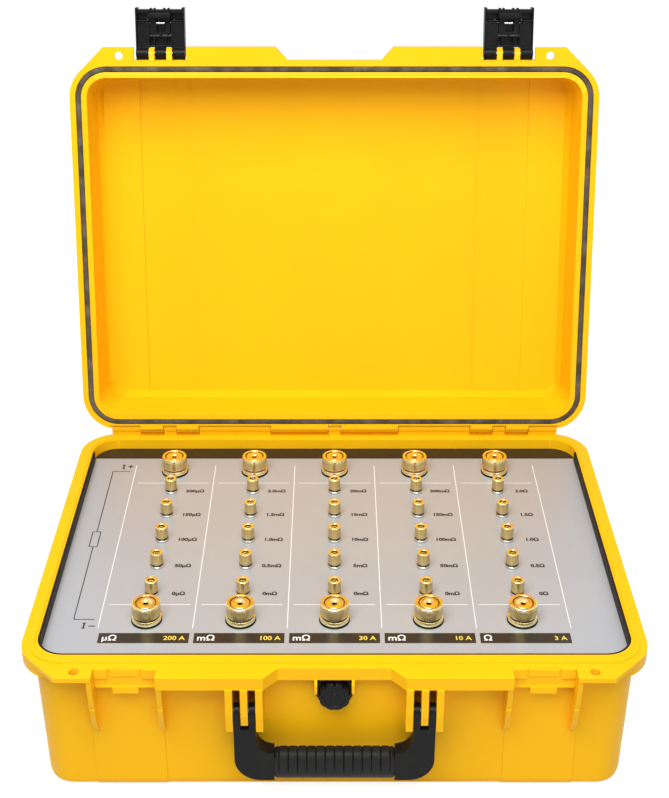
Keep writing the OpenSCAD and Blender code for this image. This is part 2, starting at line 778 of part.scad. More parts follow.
// Resistor bars under the panel, one to a column, clamped to the studs by nuts
collar_h = 3;
bar_z = plate_z - collar_h;
bar_t = [4, 3, 2, 1.5, 1];
bar_w = [24, 20, 16, 14, 12];
module shunt(c) color("#9a6a44") translate([column_x(c), 0, 0]) {
    slot_w = bar_w[c] / 4;
    difference() {
        translate([-bar_w[c] / 2, current_y(-1) - big_r, bar_z - bar_t[c]])
            cube([bar_w[c], 2 * (end_y + big_r), bar_t[c]]);
        for (s = [-1, 1]) translate([0, current_y(s), bar_z - bar_t[c] - over])
            cylinder(r = stud_r + bush_gap, h = bar_t[c] + 2 * over, $fn = round_fn);
        for (k = [0:taps - 1]) translate([0, tap_y(k), bar_z - bar_t[c] - over])
            cylinder(r = tap_stud_r + bush_gap, h = bar_t[c] + 2 * over, $fn = round_fn);
        for (k = [0:taps - 2]) translate([-slot_w / 2, tap_y(k) - tap_pitch / 2 - tap_pitch / 4, bar_z - bar_t[c] - over])
            cube([slot_w, tap_pitch / 2, bar_t[c] + 2 * over]);
    }
}

module shunt_200a() shunt(0);
module shunt_100a() shunt(1);
module shunt_30a() shunt(2);
module shunt_10a() shunt(3);
module shunt_3a() shunt(4);

module current_nuts() color("#c9a227") {
    for (c = [0:columns - 1], s = [-1, 1]) translate([column_x(c), current_y(s), 0]) {
        nut(bar_z, nut_w, stud_r + bush_gap, collar_h);
        nut(bar_z - bar_t[c] - nut_h, nut_w, stud_r + bush_gap, nut_h);
    }
}

// Tap posts, from the panel up: collar, ring, cap
tap_collar_h = 2;
tap_ring_h = 1.6;
tap_neck_r = 3.6;
tap_ring_z = face_z + tap_collar_h;
tap_cap_z = tap_ring_z + tap_ring_h;
tap_stud_len = 20;
tap_nut_w = 4.6;
tap_nut_h = 3.2;

module tap_studs() color(gold) {
    at_tap_posts() difference() {
        union() {
            translate([0, 0, face_z]) cylinder(r = tap_neck_r, h = tap_collar_h + tap_ring_h + tap_cap_h - 2 * step, $fn = round_fn);
            translate([0, 0, face_z - tap_stud_len]) cylinder(r = tap_stud_r, h = tap_stud_len + step, $fn = round_fn);
        }
        translate([0, 0, tap_cap_z + tap_cap_h - socket_depth]) cylinder(r = socket_r, h = socket_depth + over, $fn = round_fn);
    }
}

module tap_collars() color("#cfcfcb") {
    at_tap_posts() ring(face_z, tap_r + step / 2, tap_neck_r + cap_gap, tap_collar_h);
}

module tap_rings() color(black) {
    at_tap_posts() ring(tap_ring_z, tap_r, tap_neck_r + cap_gap, tap_ring_h);
}

module tap_cap() {
    difference() {
        union() {
            translate([0, 0, tap_cap_z]) cylinder(r = tap_r, h = tap_cap_h - step / 2, $fn = round_fn);
            translate([0, 0, tap_cap_z]) cylinder(r = tap_r - step / 2, h = tap_cap_h, $fn = round_fn);
        }
        translate([0, 0, tap_cap_z - over]) cylinder(r = tap_neck_r + cap_gap, h = tap_cap_h - 2 * step + cap_gap + over, $fn = round_fn);
        translate([0, 0, tap_cap_z]) cylinder(r = socket_r + step / 2, h = tap_cap_h + over, $fn = round_fn);
    }
}

module tap_caps() color(gold) {
    at_tap_posts() tap_cap();
}

module tap_nuts() color("#c9a227") {
    for (c = [0:columns - 1], k = [0:taps - 1]) translate([column_x(c), tap_y(k), 0]) {
        nut(bar_z, tap_nut_w, tap_stud_r + bush_gap, collar_h);
        nut(bar_z - bar_t[c] - tap_nut_h, tap_nut_w, tap_stud_r + bush_gap, tap_nut_h);
    }
}

base_shell();
lid_shell();
lid_seal();
hinge_pins();
handle_frame();
handle_grip();
handle_pins();
valve_body();
valve_knob();
latch_pivot_pins();
latch_lever(-1);  // latch_lever_left
latch_lever(1);  // latch_lever_right
latch_button(-1);  // latch_button_left
latch_button(1);  // latch_button_right
button_pin(-1);  // button_pin_left
button_pin(1);  // button_pin_right
panel_frame();
panel_plate();
panel_overlay();
panel_screws();
current_studs();
current_rings_red();
current_rings_black();
current_bushes();
current_nuts();
tap_studs();
tap_rings();
tap_collars();
tap_bushes();
tap_nuts();
tap_caps();
shunt_200a();
shunt_100a();
shunt_30a();
shunt_10a();
shunt_3a();
for (c = [0:columns - 1]) {
    current_cap(c, 1);
    current_cap(c, -1);
}
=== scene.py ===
from math import atan2, cos, hypot, pi, radians, sin, tau

import bmesh
import bpy
from mathutils import Matrix, Vector


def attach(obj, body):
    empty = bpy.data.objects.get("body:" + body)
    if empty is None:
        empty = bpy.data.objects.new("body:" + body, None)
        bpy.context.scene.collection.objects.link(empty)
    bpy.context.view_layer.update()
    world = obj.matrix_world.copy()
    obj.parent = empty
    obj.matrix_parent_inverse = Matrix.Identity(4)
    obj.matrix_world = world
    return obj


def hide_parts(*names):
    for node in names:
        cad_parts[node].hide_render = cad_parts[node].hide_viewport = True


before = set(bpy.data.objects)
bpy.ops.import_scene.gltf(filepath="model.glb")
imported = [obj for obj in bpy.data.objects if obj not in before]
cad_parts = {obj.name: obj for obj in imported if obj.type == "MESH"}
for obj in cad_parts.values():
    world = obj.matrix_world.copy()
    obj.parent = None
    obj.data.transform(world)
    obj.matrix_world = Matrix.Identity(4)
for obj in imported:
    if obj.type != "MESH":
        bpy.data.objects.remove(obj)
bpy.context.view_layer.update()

bl_info = {
    "name": "Micro-ohmmeter calibrator",
    "version": (1, 0, 0),
    "blender": (4, 5, 0),
    "location": "3D View > Sidebar > Calibrator",
    "description": "Dresses the packed model of a calibrator in a hinged carrying case",
    "category": "Object",
}

MM = 0.001

# Places shared with the part, in millimetres
COLUMNS = [-151.0, -75.5, 0.0, 75.5, 151.0]
TAP_ROWS = [88.0, 48.4, 8.8, -30.8, -70.4]
CURRENT_ROWS = {"rear": 123.0, "front": -105.4}
FACE_Z = 118.3
OPENING = (462.6, 327.9, 22.3)
OPENING_Y = 2.35
HINGE = (178.0, 135.5)
LID_TURN = radians(-99.6)
LATCH_PIVOT = (-184.0, 137.0)
LATCH_TURN = radians(-90)
LATCH_X = 159.0
HANDLE_PINS = (-185.0, 94.0)
GRIP_Z = 44.0
VALVE = (-171.68, 102.0)
COLUMN_PITCH = 75.5
KNURL_STEPS = 96
TAP_STEPS = 48

# The camera: its place in metres and its shift, fitted to the photo
CAMERA_PLACE = (0, -1.0624, 0.8374)
CAMERA_SHIFT = -105.76 / 798

UNITS = ["µΩ", "mΩ", "mΩ", "mΩ", "Ω"]
RATINGS = ["200 A", "100 A", "30 A", "10 A", "3 A"]
VALUES = [
    ["200µΩ", "150µΩ", "100µΩ", "50µΩ", "0µΩ"],
    ["2.0mΩ", "1.5mΩ", "1.0mΩ", "0.5mΩ", "0mΩ"],
    ["20mΩ", "15mΩ", "10mΩ", "5mΩ", "0mΩ"],
    ["200mΩ", "150mΩ", "100mΩ", "50mΩ", "0mΩ"],
    ["2.0Ω", "1.5Ω", "1.0Ω", "0.5Ω", "0Ω"],
]


# ---------------------------------------------------------------- sizes and colours


class CaseSettings(bpy.types.PropertyGroup):
    """Finish of the moulded case"""

    moulded_edge: bpy.props.FloatProperty(
        name="Moulded edge", description="Radius on the edges of the case mouldings", default=0.0011, min=0.0002,
        max=0.002, unit="LENGTH")
    yellow: bpy.props.FloatVectorProperty(
        name="Case colour", description="Colour of the case mouldings", default=(0.95, 0.505, 0.004), min=0, max=1,
        size=3, subtype="COLOR")
    black: bpy.props.FloatVectorProperty(
        name="Black parts", description="Colour of the latches, handle and valve", default=(0.0055, 0.0055, 0.0058),
        min=0, max=1, size=3, subtype="COLOR")
    gasket: bpy.props.FloatVectorProperty(
        name="Gasket colour", description="Colour of the foam seal in the lid", default=(0.060, 0.048, 0.036), min=0,
        max=1, size=3, subtype="COLOR")
    gasket_bulge: bpy.props.FloatProperty(
        name="Gasket bulge", description="How far the seal swells out of its groove", default=0.0011, min=0,
        max=0.0012, unit="LENGTH")


class HandleSettings(bpy.types.PropertyGroup):
    """Sizes of the carrying handle"""

    rib_count: bpy.props.IntProperty(
        name="Grip ribs", description="Number of ribs along the grip", default=12, min=4, max=20)
    rib_groove: bpy.props.FloatProperty(
        name="Rib groove", description="Depth of the grooves between the grip's ribs", default=0.0009, min=0.0002,
        max=0.0015, unit="LENGTH")
    soft_edge: bpy.props.FloatProperty(
        name="Frame edge", description="Radius on the edges of the handle frame", default=0.0024, min=0.0005,
        max=0.004, unit="LENGTH")


class PostSettings(bpy.types.PropertyGroup):
    """Finish of the gold posts"""

    knurl_depth: bpy.props.FloatProperty(
        name="Knurl depth", description="Depth of the straight knurl on the caps", default=0.00014, min=0,
        max=0.0004, unit="LENGTH")
    gold: bpy.props.FloatVectorProperty(
        name="Gold", description="Colour of the gold plating", default=(0.95, 0.80, 0.37), min=0, max=1, size=3,
        subtype="COLOR")
    red_ring: bpy.props.FloatVectorProperty(
        name="Red ring", description="Colour of the rings on the rear posts", default=(0.28, 0.045, 0.02), min=0,
        max=1, size=3, subtype="COLOR")


class PanelSettings(bpy.types.PropertyGroup):
    """Print on the top panel"""

    panel: bpy.props.FloatVectorProperty(
        name="Panel colour", description="Colour of the printed overlay", default=(0.41, 0.43, 0.465), min=0, max=1,
        size=3, subtype="COLOR")
    strip: bpy.props.FloatVectorProperty(
        name="Strip colour", description="Colour of the dark strips", default=(0.017, 0.012, 0.009), min=0, max=1,
        size=3, subtype="COLOR")
    rating: bpy.props.FloatVectorProperty(
        name="Rating colour", description="Colour of the current ratings", default=(0.86, 0.66, 0.10), min=0, max=1,
        size=3, subtype="COLOR")
    value_height: bpy.props.FloatProperty(
        name="Value size", description="Type size of the resistance values", default=0.0060, min=0.002, max=0.01,
        unit="LENGTH")
    line_width: bpy.props.FloatProperty(
        name="Line width", description="Width of the white lines", default=0.0007, min=0.0003, max=0.003,
        unit="LENGTH")


class StageSettings(bpy.types.PropertyGroup):
    """Light and camera"""

    sky: bpy.props.FloatProperty(
        name="Sky", description="Strength of the even light from all round", default=0.30, min=0, max=3)
    key_power: bpy.props.FloatProperty(
        name="Key light", description="Power of the large soft light above", default=33, min=0, max=500, unit="POWER")
    fill_power: bpy.props.FloatProperty(
        name="Fill light", description="Power of the soft light in front", default=4, min=0, max=500, unit="POWER")
    lens: bpy.props.FloatProperty(
        name="Lens", description="Focal length of the camera", default=65.49, min=20, max=200, unit="CAMERA")
    pitch: bpy.props.FloatProperty(
        name="Camera pitch", description="How far the camera looks down", default=radians(24.24), subtype="ANGLE")


GROUPS = (
    ("calibrator_case", CaseSettings),
    ("calibrator_handle", HandleSettings),
    ("calibrator_posts", PostSettings),
    ("calibrator_panel", PanelSettings),
    ("calibrator_stage", StageSettings),
)


# ---------------------------------------------------------------- shader wiring


class Wire:
    """A socket in a material's nodes. Python arithmetic on it adds Math nodes; node() adds any other."""

    def __init__(self, tree, socket=None):
        self.tree = tree
        self.socket = socket

    def node(self, kind, settings=None, sockets=None, out=0):
        """Adds one node, its settings first, then values or wires for its sockets, and gives one output."""
        made = self.tree.nodes.new(kind)
        for key, value in (settings or {}).items():
            if key == "stops":
                ramp = made.color_ramp.elements
                while len(ramp) < len(value):
                    ramp.new(0.5)
                for stop, (place, colour) in zip(ramp, value):
                    stop.position = place
                    stop.color = colour
            else:
                setattr(made, key, value)
        for key, value in (sockets or {}).items():
            if isinstance(value, Wire):
                self.tree.links.new(value.socket, made.inputs[key])
            else:
                made.inputs[key].default_value = value
        return Wire(self.tree, made.outputs[out])

    def _sum(self, operation, a, b):
        return self.node("ShaderNodeMath", {"operation": operation}, {0: a, 1: b})

    def __add__(self, other):
        return self._sum("ADD", self, other)

    __radd__ = __add__

    def __mul__(self, other):
        return self._sum("MULTIPLY", self, other)

    __rmul__ = __mul__

    def __sub__(self, other):
        return self._sum("SUBTRACT", self, other)

    def mixed(self, low, high):
        """Two colours mixed by this value."""
        return self.node("ShaderNodeMix", {"data_type": "RGBA"}, {0: self, 6: low, 7: high}, out=2)

    def within(self, low, high, to_low, to_high):
        """This value's range mapped on another, clamped."""
        return self.node("ShaderNodeMapRange", None, {0: self, 1: low, 2: high, 3: to_low, 4: to_high})


def solid(colour):
    """The colour with an alpha of 1."""
    return (colour[0], colour[1], colour[2], 1.0)


def dimmed(colour, factor):
    """The colour made darker or lighter, with an alpha of 1."""
    return (colour[0] * factor, colour[1] * factor, colour[2] * factor, 1.0)


def new_finish(name, **constants):
    """A material with its shader's constants set, the shader, and a wire with the object coordinates."""
    material = bpy.data.materials.new(name)
    material.use_nodes = True
    tree = material.node_tree
    shader = tree.nodes["Principled BSDF"]
    for key, value in constants.items():
        shader.inputs[key.replace("_", " ")].default_value = value
    place = Wire(tree).node("ShaderNodeTexCoord", out="Object")
    return material, shader, place


def feed(shader, key, wire):
    """Links a wire to a socket of the shader."""
    wire.tree.links.new(wire.socket, shader.inputs[key])


def speckle(place, scale, detail=2.0, stretch=(1, 1, 1)):
    """Noise on object coordinates, stretched along an axis where asked."""
    if stretch != (1, 1, 1):
        place = place.node("ShaderNodeMapping", None, {"Vector": place, "Scale": stretch})
    return place.node("ShaderNodeTexNoise", None, {"Vector": place, "Scale": scale, "Detail": detail}, out="Fac")


def bumped(shader, height, strength, distance):
    """Raises the surface by a height wire."""
    feed(shader, "Normal", height.node(
        "ShaderNodeBump", None, {"Height": height, "Strength": strength, "Distance": distance}))


def moulded_yellow():
    """Satin polypropylene: fine spark-eroded grain, slight flow mottling and rubbed patches."""
    colour = bpy.context.scene.calibrator_case.yellow
    material, shader, place = new_finish("moulded_yellow", IOR=1.49, Specular_IOR_Level=0.14)
    flow = speckle(place, 9.0, 3.0, (1, 1, 0.45)).within(0.35, 0.65, 0, 1)
    feed(shader, "Base Color", flow.mixed(dimmed(colour, 0.955), solid(colour)))
    grain = speckle(place, 1500.0, 3.0)
    rubbed = speckle(place, 42.0, 5.0)
    feed(shader, "Roughness", rubbed.within(0.3, 0.7, 0.36, 0.50) + (grain - 0.5) * 0.06)
    bumped(shader, grain + rubbed * 0.25, 0.16, 0.00022)
    return material


def moulded_black():
    """Glass-filled nylon: near black, satin, with a fine grain and faint grey scuffs."""
    colour = bpy.context.scene.calibrator_case.black
    material, shader, place = new_finish("moulded_black", IOR=1.5, Specular_IOR_Level=0.12)
    scuff = speckle(place, 160.0, 6.0).within(0.56, 0.74, 0, 1)
    feed(shader, "Base Color", scuff.mixed(solid(colour), dimmed(colour, 1.9)))
    grain = speckle(place, 1900.0, 2.0)
    feed(shader, "Roughness", scuff * 0.12 + grain.within(0.2, 0.8, 0.26, 0.38))
    bumped(shader, grain, 0.2, 0.00018)
    return material


def grip_rubber():
    """Soft overmoulded rubber: matt, slightly dusty in the middle of the ribs."""
    material, shader, place = new_finish("grip_rubber", IOR=1.46, Specular_IOR_Level=0.2)
    dust = speckle(place, 230.0, 6.0).within(0.45, 0.8, 0, 1)
    feed(shader, "Base Color", dust.mixed((0.006, 0.006, 0.006, 1), (0.015, 0.0145, 0.014, 1)))
    feed(shader, "Roughness", dust.within(0, 1, 0.52, 0.72))
    bumped(shader, speckle(place, 2400.0, 2.0), 0.25, 0.00015)
    return material


def gasket_foam():
    """Closed-cell foam cord: brownish black with small pores and a worn grey crown."""
    colour = bpy.context.scene.calibrator_case.gasket
    material, shader, place = new_finish("gasket_foam", IOR=1.4, Specular_IOR_Level=0.3)
    worn = speckle(place, 75.0, 5.0).within(0.4, 0.7, 0, 1)
    feed(shader, "Base Color", worn.mixed(solid(colour), dimmed(colour, 2.3)))
    cells = place.node("ShaderNodeTexVoronoi", None, {"Vector": place, "Scale": 1400.0}, out="Distance")
    feed(shader, "Roughness", worn.within(0, 1, 0.86, 0.62))
    bumped(shader, cells, 0.5, 0.0003)
    return material


def turned_metal(name, colour, rough, marks=2600.0, mark_strength=0.10):
    """Lathe-turned metal: fine rings round the vertical axis and slight tarnish."""
    material, shader, place = new_finish(name, Metallic=1.0)
    tarnish = speckle(place, 260.0, 4.0).within(0.4, 0.75, 0, 1)
    feed(shader, "Base Color", tarnish.mixed(solid(colour), dimmed(colour, 0.82)))
    rings = speckle(place, marks, 2.0, (0.02, 0.02, 1))
    feed(shader, "Roughness", rings.within(0.25, 0.75, rough * 0.75, rough * 1.3) + tarnish * 0.05)
    bumped(shader, rings, mark_strength, 0.00008)
    return material


def brushed_metal(name, colour, rough, stretch, scale=900.0):
    """Ground or rolled metal with a grain along one axis."""
    material, shader, place = new_finish(name, Metallic=1.0)
    grain = speckle(place, scale, 3.0, stretch)
    feed(shader, "Base Color", grain.within(0.3, 0.7, 0, 1).mixed(dimmed(colour, 0.88), solid(colour)))
    feed(shader, "Roughness", grain.within(0.25, 0.75, rough * 0.8, rough * 1.25))
    bumped(shader, grain, 0.15, 0.0001)
    return material


def gloss_ring(name, colour):
    """Glossy moulded insulator ring with faint swirl marks."""
    material, shader, place = new_finish(name, IOR=1.5)
    swirl = speckle(place, 500.0, 4.0)
    feed(shader, "Base Color", swirl.within(0.3, 0.7, 0, 1).mixed(dimmed(colour, 0.85), solid(colour)))
    feed(shader, "Roughness", swirl.within(0.3, 0.7, 0.2, 0.34))
    bumped(shader, swirl, 0.06, 0.0001)
    return material


def printed_overlay():
    """Satin screen-printed overlay: metallic grey ink with a fine tooth."""
    colour = bpy.context.scene.calibrator_panel.panel
    material, shader, place = new_finish("printed_overlay", IOR=1.5, Metallic=0.25)
    cloud = speckle(place, 5.0, 2.0).within(0.35, 0.65, 0, 1)
    fleck = speckle(place, 3800.0, 1.0)
    tone = cloud.mixed(dimmed(colour, 0.97), solid(colour))
    feed(shader, "Base Color", fleck.within(0.3, 0.7, 0, 0.1).mixed(tone, (0.75, 0.76, 0.78, 1)))
    feed(shader, "Roughness", fleck.within(0.2, 0.8, 0.36, 0.50))
    bumped(shader, fleck, 0.12, 0.0001)
    return material


def print_ink(name, colour, rough=0.4):
    """A layer of screen-print ink, with the ink's slight unevenness."""
    material, shader, place = new_finish(name, IOR=1.48)
    uneven = speckle(place, 1300.0, 2.0)
    feed(shader, "Base Color", uneven.within(0.3, 0.7, 0, 1).mixed(dimmed(colour, 0.9), solid(colour)))
    feed(shader, "Roughness", uneven.within(0.2, 0.8, rough * 0.85, rough * 1.15))
    bumped(shader, uneven, 0.08, 0.00005)
    return material


FINISHES = {}


def knurl_shade_tone(gold):
    """Painted shade: the gold made darker and redder for a cap's knurled side, standing in for the shade that falls on
    it.
    """
    return (gold[0] * 0.74, gold[1] * 0.64, gold[2] * 0.56)


def finish(name):
    """The finished material of that name, made once."""
    if name not in FINISHES:
        scene = bpy.context.scene
        posts = scene.calibrator_posts
        panel = scene.calibrator_panel
        makers = {
            "yellow": moulded_yellow,
            "black": moulded_black,
            "rubber": grip_rubber,
            "foam": gasket_foam,
            "gold": lambda: turned_metal("gold_plate", posts.gold, 0.17),
            # painted shade: the knurled sides get a darker, redder copy of the gold
            "knurl": lambda: brushed_metal("gold_knurl_painted_shade", knurl_shade_tone(posts.gold), 0.30, (1, 1, 0.06), 1600.0),
            # painted shade: a dark brown gold for the insides of sockets and grooves, where shade falls
            "bore": lambda: turned_metal("socket_bore", (0.36, 0.19, 0.045), 0.5),
            "nickel": lambda: turned_metal("nickel_plate", (0.64, 0.59, 0.48), 0.2, 2200.0, 0.08),
            "steel": lambda: brushed_metal("ground_steel", (0.66, 0.66, 0.67), 0.24, (0.04, 1, 1)),
            "brass": lambda: brushed_metal("brass_nut", (0.72, 0.50, 0.17), 0.28, (1, 1, 0.1)),
            "alloy": lambda: brushed_metal("resistor_alloy", (0.56, 0.31, 0.17), 0.36, (1, 0.03, 1)),
            "aluminium": lambda: brushed_metal("panel_metal", (0.62, 0.63, 0.65), 0.34, (0.03, 1, 1)),
            "red": lambda: gloss_ring("red_ring", posts.red_ring),
            "dark": lambda: gloss_ring("black_ring", (0.014, 0.012, 0.011)),
            "overlay": printed_overlay,
            "strip_ink": lambda: print_ink("strip_ink", panel.strip, 0.34),
            "white_ink": lambda: print_ink("white_ink", (0.86, 0.86, 0.85)),
            "black_ink": lambda: print_ink("black_ink", (0.008, 0.008, 0.008)),
            "rating_ink": lambda: print_ink("rating_ink", panel.rating),
        }
        FINISHES[name] = makers[name]()
    return FINISHES[name]


def coat(node, name):
    """Gives a CAD node its finished material."""
    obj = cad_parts[node]
    obj.data.materials.clear()
    obj.data.materials.append(finish(name))


# ---------------------------------------------------------------- mesh helpers


def settle(name, shape, body, slot, *materials, sharp=32, flat=False):
    """Turns a bmesh in millimetres into a piece that rides on a body. Flat keeps large faces evenly lit."""
    bmesh.ops.scale(shape, vec=(MM, MM, MM), verts=shape.verts)
    mesh = bpy.data.meshes.new(name)
    shape.to_mesh(mesh)
    shape.free()
    piece = bpy.data.objects.new(name, mesh)
    bpy.context.scene.collection.objects.link(piece)
    for material in materials:
        mesh.materials.append(finish(material))
    mesh.shade_smooth()
    mesh.set_sharp_from_angle(angle=radians(sharp))
    if flat:
        weigh = piece.modifiers.new("flat_faces", "WEIGHTED_NORMAL")
        weigh.mode = "FACE_AREA"
        weigh.weight = 90
        weigh.keep_sharp = True
        for face in mesh.polygons:
            face.use_smooth = face.area < 0.003
    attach(piece, body)
    return piece


def block(shape, x, y, z):
    """Adds a box given by its low and high x, y and z, and gives its verts."""
    size = (x[1] - x[0], y[1] - y[0], z[1] - z[0])
    middle = ((x[0] + x[1]) / 2, (y[0] + y[1]) / 2, (z[0] + z[1]) / 2)
    made = bmesh.ops.create_cube(shape, size=1.0, matrix=Matrix.Translation(middle) @ Matrix.Diagonal((*size, 1)))
    return made["verts"]


def soften(shape, width, angle=30, segments=2):
    """Rounds every edge sharper than the angle."""
    edges = [e for e in shape.edges if e.is_manifold and e.calc_face_angle(0) > radians(angle)]
    bmesh.ops.bevel(
        shape, geom=edges, offset=width, offset_type="OFFSET", affect="EDGES", segments=segments, profile=0.5,
        material=-1, clamp_overlap=True)


def turned(profile, steps, closed=False):
    """A shape turned on a lathe from radius and height pairs."""
    shape = bmesh.new()
    rim = [shape.verts.new((r, 0, z)) for r, z in profile]
    edges = [shape.edges.new(pair) for pair in zip(rim, rim[1:])]
    if closed:
        edges.append(shape.edges.new((rim[-1], rim[0])))
    bmesh.ops.spin(
        shape, geom=rim + edges, cent=(0, 0, 0), axis=(0, 0, 1), angle=tau, steps=steps, use_merge=True)
    bmesh.ops.remove_doubles(shape, verts=shape.verts, dist=0.001)
    bmesh.ops.recalc_face_normals(shape, faces=shape.faces)
    return shape


def spread(shape, places):
    """Copies the shape's mesh to every place, given in millimetres, and drops the first one."""
    first = shape.verts[:] + shape.edges[:] + shape.faces[:]
    verts = shape.verts[:]
    for place in places:
        copy = bmesh.ops.duplicate(shape, geom=first)["geom"]
        bmesh.ops.translate(shape, verts=[g for g in copy if isinstance(g, bmesh.types.BMVert)], vec=place)
    bmesh.ops.delete(shape, geom=verts, context="VERTS")
    return shape


def framed(shape, section, width, depth, radius, centre_y, steps=12):
    """Sweeps a closed section, pairs of outward distance and height, round a rounded rectangle."""
    half_x = width / 2
    half_y = depth / 2
    start = [shape.verts.new((half_x + out, centre_y - half_y + radius, z)) for out, z in section]
    edges = [shape.edges.new((a, b)) for a, b in zip(start, start[1:] + start[:1])]
    sides = [(0, depth - 2 * radius), (-(width - 2 * radius), 0), (0, -(depth - 2 * radius)), (width - 2 * radius, 0)]
    corners = [(1, 1), (-1, 1), (-1, -1), (1, -1)]
    for side, corner in zip(sides, corners):
        grown = bmesh.ops.extrude_edge_only(shape, edges=edges)["geom"]
        verts = [g for g in grown if isinstance(g, bmesh.types.BMVert)]
        bmesh.ops.translate(shape, verts=verts, vec=(side[0], side[1], 0))
        edges = [e for e in {e for v in verts for e in v.link_edges} if all(v in verts for v in e.verts)]
        centre = (corner[0] * (half_x - radius), centre_y + corner[1] * (half_y - radius), 0)
        last = bmesh.ops.spin(
            shape, geom=verts + edges, cent=centre, axis=(0, 0, 1), angle=pi / 2, steps=steps)["geom_last"]
        edges = [g for g in last if isinstance(g, bmesh.types.BMEdge)]
    bmesh.ops.remove_doubles(shape, verts=shape.verts, dist=0.01)
    bmesh.ops.recalc_face_normals(shape, faces=shape.faces)


def lid_turn():
    """Takes closed-lid coordinates to the open lid, in millimetres."""
    hinge = Matrix.Translation((0, HINGE[0], HINGE[1]))
    return hinge @ Matrix.Rotation(LID_TURN, 4, "X") @ hinge.inverted()


def latch_turn(side):
    """Takes latch coordinates (x, u from the pin, v outwards) to the open latch, in millimetres."""
    pivot = Matrix.Translation((0, LATCH_PIVOT[0], LATCH_PIVOT[1]))
    swing = pivot @ Matrix.Rotation(LATCH_TURN, 4, "X") @ pivot.inverted()
    axes = Matrix(((1, 0, 0, side * LATCH_X), (0, 0, -1, LATCH_PIVOT[0]), (0, -1, 0, LATCH_PIVOT[1]), (0, 0, 0, 1)))
    return lid_turn() @ swing @ axes


def cad_copy(node, width, angle=28, segments=2):
    """A copy of a CAD node's mesh, in millimetres, its flat triangles joined and its edges softened."""
    shape = bmesh.new()
    shape.from_mesh(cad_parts[node].data)
    bmesh.ops.scale(shape, vec=(1000, 1000, 1000), verts=shape.verts)
    bmesh.ops.remove_doubles(shape, verts=shape.verts, dist=0.002)
    bmesh.ops.dissolve_limit(
        shape, angle_limit=radians(0.6), verts=shape.verts, edges=shape.edges, use_dissolve_boundaries=False)
    if width:
        soften(shape, width, angle, segments)
    return shape


# ---------------------------------------------------------------- the case


def case_base():
    """The base moulding with softened edges, and the trims of its front."""
    width = bpy.context.scene.calibrator_case.moulded_edge / MM
    shell = settle(
        "base_moulding", cad_copy("base_shell", width), "case_base", "yellow_case", "yellow", sharp=50, flat=True)
    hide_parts("base_shell")
    trims = bmesh.new()
    for side in (-1, 1):
        middle = side * LATCH_X
        block(trims, (middle - 11.5, middle + 11.5), (-178.7, -176), (120.5, 127.2))
        for low, high in ((-24, -13), (13, 24)):
            block(trims, (middle + low, middle + high), (-179.4, -176), (119, 127.9))
        block(trims, (middle - 23.5, middle + 23.5), (-178.9, -176), (110.2, 112.4))
    soften(trims, 0.6)
    settle("latch_recess_trims", trims, "case_base", "yellow_case", "yellow", flat=True)
    ribs = bmesh.new()
    for side in (-1, 1):
        block(ribs, (side * 14.2 - 1.1, side * 14.2 + 1.1), (-184.5, -166), (108.5, 117.6))
    soften(ribs, 0.5)
    settle("valve_guard_ribs", ribs, "case_base", "yellow_case", "yellow")


def case_lid():
    """The lid moulding with softened edges."""
    width = bpy.context.scene.calibrator_case.moulded_edge / MM
    shell = settle(
        "lid_moulding", cad_copy("lid_shell", width), "case_lid", "yellow_case", "yellow", sharp=50, flat=True)
    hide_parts("lid_shell")


def lid_gasket():
    """The foam seal: a crowned cord laid in the lid's groove."""
    bulge = bpy.context.scene.calibrator_case.gasket_bulge / MM
    shape = bmesh.new()
    half = 2.6
    base = 131.15
    crown = 129.6 - bulge
    section = [(-half, base), (-half, 130.1), (-half * 0.8, crown + 0.45), (-half * 0.4, crown + 0.08),
               (0, crown), (half * 0.4, crown + 0.08), (half * 0.8, crown + 0.45), (half, 130.1), (half, base)]
    inset = 5.2 + 2.7
    framed(shape, section, 486 - 2 * inset, 356 - 2 * inset, 34 - inset, 0, 16)
    bmesh.ops.transform(shape, matrix=lid_turn(), verts=shape.verts)
    piece = settle("lid_gasket", shape, "case_lid", "seal_rubber", "foam", sharp=50)
    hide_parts("lid_seal")


# ---------------------------------------------------------------- handle and valve


